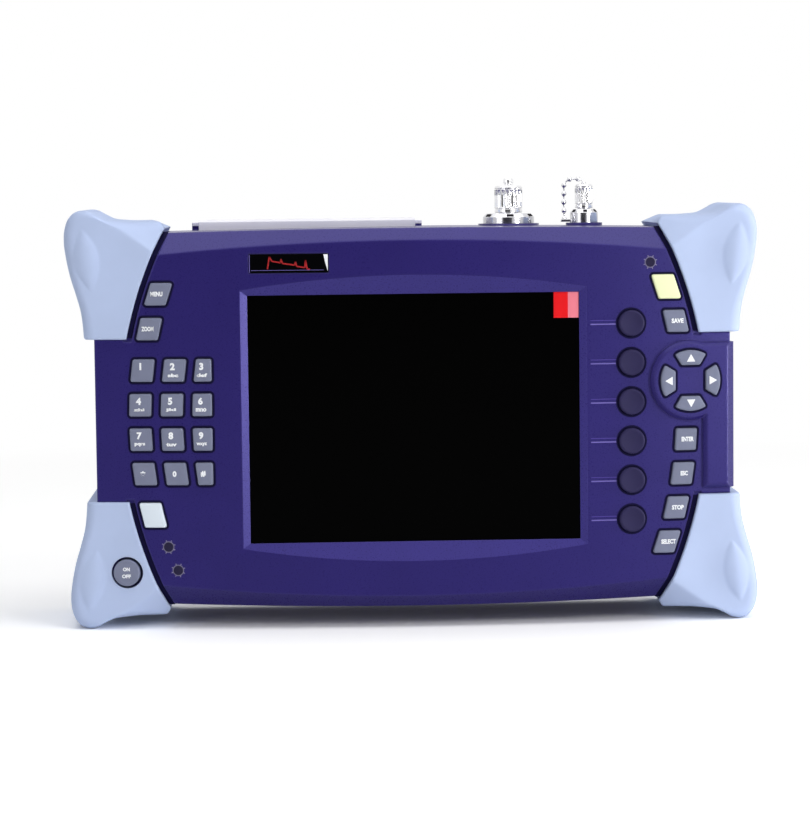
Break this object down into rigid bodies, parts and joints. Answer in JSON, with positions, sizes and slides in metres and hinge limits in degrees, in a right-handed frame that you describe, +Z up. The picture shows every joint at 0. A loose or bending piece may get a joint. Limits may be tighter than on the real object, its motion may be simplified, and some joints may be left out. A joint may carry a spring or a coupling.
{
  "type": "optical time domain reflectometer",
  "caption": "Portable optical fibre tester: crowned casing with screen, keypad, cursor and soft keys, corner bumpers, capped fibre ports on top and a fold-out stand behind.",
  "frame": {"origin": "on the surface that the instrument stands on, under the middle of its width and depth", "axes": "+X to the instrument's right as its user sees it, +Y to its back, +Z up; the screen faces -Y"},
  "size_m": [0.2776, 0.068, 0.1791],
  "materials": {
    "housing": "fine matt",
    "cover": "satin",
    "bumper": "fine matt rubber",
    "key": "matt silicone rubber",
    "dark_key": "matt silicone rubber",
    "white_key": "matt silicone rubber",
    "yellow_key": "matt silicone rubber",
    "glass": "polished, unlit",
    "dark": "plain",
    "red_film": "thin film",
    "plate": "polished",
    "light": "clear tips",
    "board": "solder mask",
    "silicone": "matt",
    "aluminium": "milled",
    "white_plastic": "plain",
    "steel": "plain",
    "plated": "nickel plated",
    "cap": "polished plating"
  },
  "bodies": {
    "instrument": {"front_housing": "housing", "rear_housing": "housing", "bumper_top_right": "bumper", "bumper_top_left": "bumper", "bumper_bottom_right": "bumper", "bumper_bottom_left": "bumper", "screen_window": "glass", "lcd_module": "dark", "film_tab": "red_film", "name_plate": "plate", "status_lights": "light", "key_board": "board", "key_mat": "silicone", "main_board": "board", "optics_module": "aluminium", "fibre_spool": "white_plastic", "battery_pack": "dark", "battery_cover": "housing", "stand_pins": "steel", "housing_screws": "steel", "wide_port": "plated", "narrow_port": "plated", "cap_chain": "plated", "connector_panel": "steel"},
    "stand": {"tilt_stand": "housing"},
    "cover": {"port_cover": "cover"},
    "wide_cap": {"wide_port_cap": "cap"},
    "narrow_cap": {"narrow_port_cap": "cap"},
    "key_1": {"key_1": "key"},
    "key_2": {"key_2": "key"},
    "key_3": {"key_3": "key"},
    "key_4": {"key_4": "key"},
    "key_5": {"key_5": "key"},
    "key_6": {"key_6": "key"},
    "key_7": {"key_7": "key"},
    "key_8": {"key_8": "key"},
    "key_9": {"key_9": "key"},
    "key_star": {"key_star": "key"},
    "key_0": {"key_0": "key"},
    "key_hash": {"key_hash": "key"},
    "function_key_left_1": {"function_key_left_1": "key"},
    "function_key_left_2": {"function_key_left_2": "key"},
    "shift_key": {"shift_key": "white_key"},
    "start_key": {"start_key": "yellow_key"},
    "function_key_right_1": {"function_key_right_1": "key"},
    "function_key_right_2": {"function_key_right_2": "key"},
    "function_key_right_3": {"function_key_right_3": "key"},
    "function_key_right_4": {"function_key_right_4": "key"},
    "function_key_right_5": {"function_key_right_5": "key"},
    "soft_key_1": {"soft_key_1": "dark_key"},
    "soft_key_2": {"soft_key_2": "dark_key"},
    "soft_key_3": {"soft_key_3": "dark_key"},
    "soft_key_4": {"soft_key_4": "dark_key"},
    "soft_key_5": {"soft_key_5": "dark_key"},
    "soft_key_6": {"soft_key_6": "dark_key"},
    "cursor_up": {"cursor_up": "key"},
    "cursor_right": {"cursor_right": "key"},
    "cursor_down": {"cursor_down": "key"},
    "cursor_left": {"cursor_left": "key"},
    "power_button": {"power_button": "key"}
  },
  "joints": [
    {"name": "key_1_press", "type": "slide", "parent": "instrument", "child": "key_1", "axis": [0.1198, 0.9928, 0], "range_m": [0, 0.001], "stiffness_N_per_m": 1500},
    {"name": "key_2_press", "type": "slide", "parent": "instrument", "child": "key_2", "axis": [0.1058, 0.9944, 0], "range_m": [0, 0.001], "stiffness_N_per_m": 1500},
    {"name": "key_3_press", "type": "slide", "parent": "instrument", "child": "key_3", "axis": [0.0918, 0.9958, 0], "range_m": [0, 0.001], "stiffness_N_per_m": 1500},
    {"name": "key_4_press", "type": "slide", "parent": "instrument", "child": "key_4", "axis": [0.121, 0.9926, 0], "range_m": [0, 0.001], "stiffness_N_per_m": 1500},
    {"name": "key_5_press", "type": "slide", "parent": "instrument", "child": "key_5", "axis": [0.107, 0.9943, 0], "range_m": [0, 0.001], "stiffness_N_per_m": 1500},
    {"name": "key_6_press", "type": "slide", "parent": "instrument", "child": "key_6", "axis": [0.093, 0.9957, 0], "range_m": [0, 0.001], "stiffness_N_per_m": 1500},
    {"name": "key_7_press", "type": "slide", "parent": "instrument", "child": "key_7", "axis": [0.121, 0.9927, 0], "range_m": [0, 0.001], "stiffness_N_per_m": 1500},
    {"name": "key_8_press", "type": "slide", "parent": "instrument", "child": "key_8", "axis": [0.107, 0.9943, 0], "range_m": [0, 0.001], "stiffness_N_per_m": 1500},
    {"name": "key_9_press", "type": "slide", "parent": "instrument", "child": "key_9", "axis": [0.093, 0.9957, 0], "range_m": [0, 0.001], "stiffness_N_per_m": 1500},
    {"name": "key_star_press", "type": "slide", "parent": "instrument", "child": "key_star", "axis": [0.1196, 0.9928, 0], "range_m": [0, 0.001], "stiffness_N_per_m": 1500},
    {"name": "key_0_press", "type": "slide", "parent": "instrument", "child": "key_0", "axis": [0.1056, 0.9944, 0], "range_m": [0, 0.001], "stiffness_N_per_m": 1500},
    {"name": "key_hash_press", "type": "slide", "parent": "instrument", "child": "key_hash", "axis": [0.0916, 0.9958, 0], "range_m": [0, 0.001], "stiffness_N_per_m": 1500},
    {"name": "function_key_left_1_press", "type": "slide", "parent": "instrument", "child": "function_key_left_1", "axis": [0.1123, 0.9937, 0], "range_m": [0, 0.001], "stiffness_N_per_m": 1500},
    {"name": "function_key_left_2_press", "type": "slide", "parent": "instrument", "child": "function_key_left_2", "axis": [0.1166, 0.9932, 0], "range_m": [0, 0.001], "stiffness_N_per_m": 1500},
    {"name": "shift_key_press", "type": "slide", "parent": "instrument", "child": "shift_key", "axis": [0.1163, 0.9932, 0], "range_m": [0, 0.001], "stiffness_N_per_m": 1500},
    {"name": "start_key_press", "type": "slide", "parent": "instrument", "child": "start_key", "axis": [-0.1121, 0.9937, 0], "range_m": [0, 0.001], "stiffness_N_per_m": 1500},
    {"name": "function_key_right_1_press", "type": "slide", "parent": "instrument", "child": "function_key_right_1", "axis": [-0.1164, 0.9932, 0], "range_m": [0, 0.001], "stiffness_N_per_m": 1500},
    {"name": "function_key_right_2_press", "type": "slide", "parent": "instrument", "child": "function_key_right_2", "axis": [-0.1208, 0.9927, 0], "range_m": [0, 0.001], "stiffness_N_per_m": 1500},
    {"name": "function_key_right_3_press", "type": "slide", "parent": "instrument", "child": "function_key_right_3", "axis": [-0.1192, 0.9929, 0], "range_m": [0, 0.001], "stiffness_N_per_m": 1500},
    {"name": "function_key_right_4_press", "type": "slide", "parent": "instrument", "child": "function_key_right_4", "axis": [-0.1163, 0.9932, 0], "range_m": [0, 0.001], "stiffness_N_per_m": 1500},
    {"name": "function_key_right_5_press", "type": "slide", "parent": "instrument", "child": "function_key_right_5", "axis": [-0.112, 0.9937, 0], "range_m": [0, 0.001], "stiffness_N_per_m": 1500},
    {"name": "soft_key_1_press", "type": "slide", "parent": "instrument", "child": "soft_key_1", "axis": [-0.0963, 0.9953, 0], "range_m": [0, 0.001], "stiffness_N_per_m": 1500},
    {"name": "soft_key_2_press", "type": "slide", "parent": "instrument", "child": "soft_key_2", "axis": [-0.0963, 0.9953, 0], "range_m": [0, 0.001], "stiffness_N_per_m": 1500},
    {"name": "soft_key_3_press", "type": "slide", "parent": "instrument", "child": "soft_key_3", "axis": [-0.0963, 0.9953, 0], "range_m": [0, 0.001], "stiffness_N_per_m": 1500},
    {"name": "soft_key_4_press", "type": "slide", "parent": "instrument", "child": "soft_key_4", "axis": [-0.0963, 0.9953, 0], "range_m": [0, 0.001], "stiffness_N_per_m": 1500},
    {"name": "soft_key_5_press", "type": "slide", "parent": "instrument", "child": "soft_key_5", "axis": [-0.0963, 0.9953, 0], "range_m": [0, 0.001], "stiffness_N_per_m": 1500},
    {"name": "soft_key_6_press", "type": "slide", "parent": "instrument", "child": "soft_key_6", "axis": [-0.0963, 0.9953, 0], "range_m": [0, 0.001], "stiffness_N_per_m": 1500},
    {"name": "cursor_up_press", "type": "slide", "parent": "instrument", "child": "cursor_up", "axis": [-0.1223, 0.9925, 0], "range_m": [0, 0.001], "stiffness_N_per_m": 1500},
    {"name": "cursor_right_press", "type": "slide", "parent": "instrument", "child": "cursor_right", "axis": [-0.1223, 0.9925, 0], "range_m": [0, 0.001], "stiffness_N_per_m": 1500},
    {"name": "cursor_down_press", "type": "slide", "parent": "instrument", "child": "cursor_down", "axis": [-0.1223, 0.9925, 0], "range_m": [0, 0.001], "stiffness_N_per_m": 1500},
    {"name": "cursor_left_press", "type": "slide", "parent": "instrument", "child": "cursor_left", "axis": [-0.1223, 0.9925, 0], "range_m": [0, 0.001], "stiffness_N_per_m": 1500},
    {"name": "power_button_press", "type": "slide", "parent": "instrument", "child": "power_button", "axis": [0.1282, 0.9917, 0], "range_m": [0, 0.001], "stiffness_N_per_m": 1500},
    {"name": "stand_hinge", "type": "hinge", "parent": "instrument", "child": "stand", "pos_m": [0, 0.0287, 0.1423], "axis": [1, 0, 0], "range_deg": [0, 50]},
    {"name": "port_cover_hinge", "type": "hinge", "parent": "instrument", "child": "cover", "pos_m": [-0.04175, 0.024, 0.1594], "axis": [-1, 0, 0], "range_deg": [0, 85]},
    {"name": "wide_cap_pull", "type": "slide", "parent": "instrument", "child": "wide_cap", "axis": [0, 0, 1], "range_m": [0, 0.014]},
    {"name": "narrow_cap_pull", "type": "slide", "parent": "instrument", "child": "narrow_cap", "axis": [0, 0, 1], "range_m": [0, 0.012], "deforming": ["cap_chain"]}
  ]
}
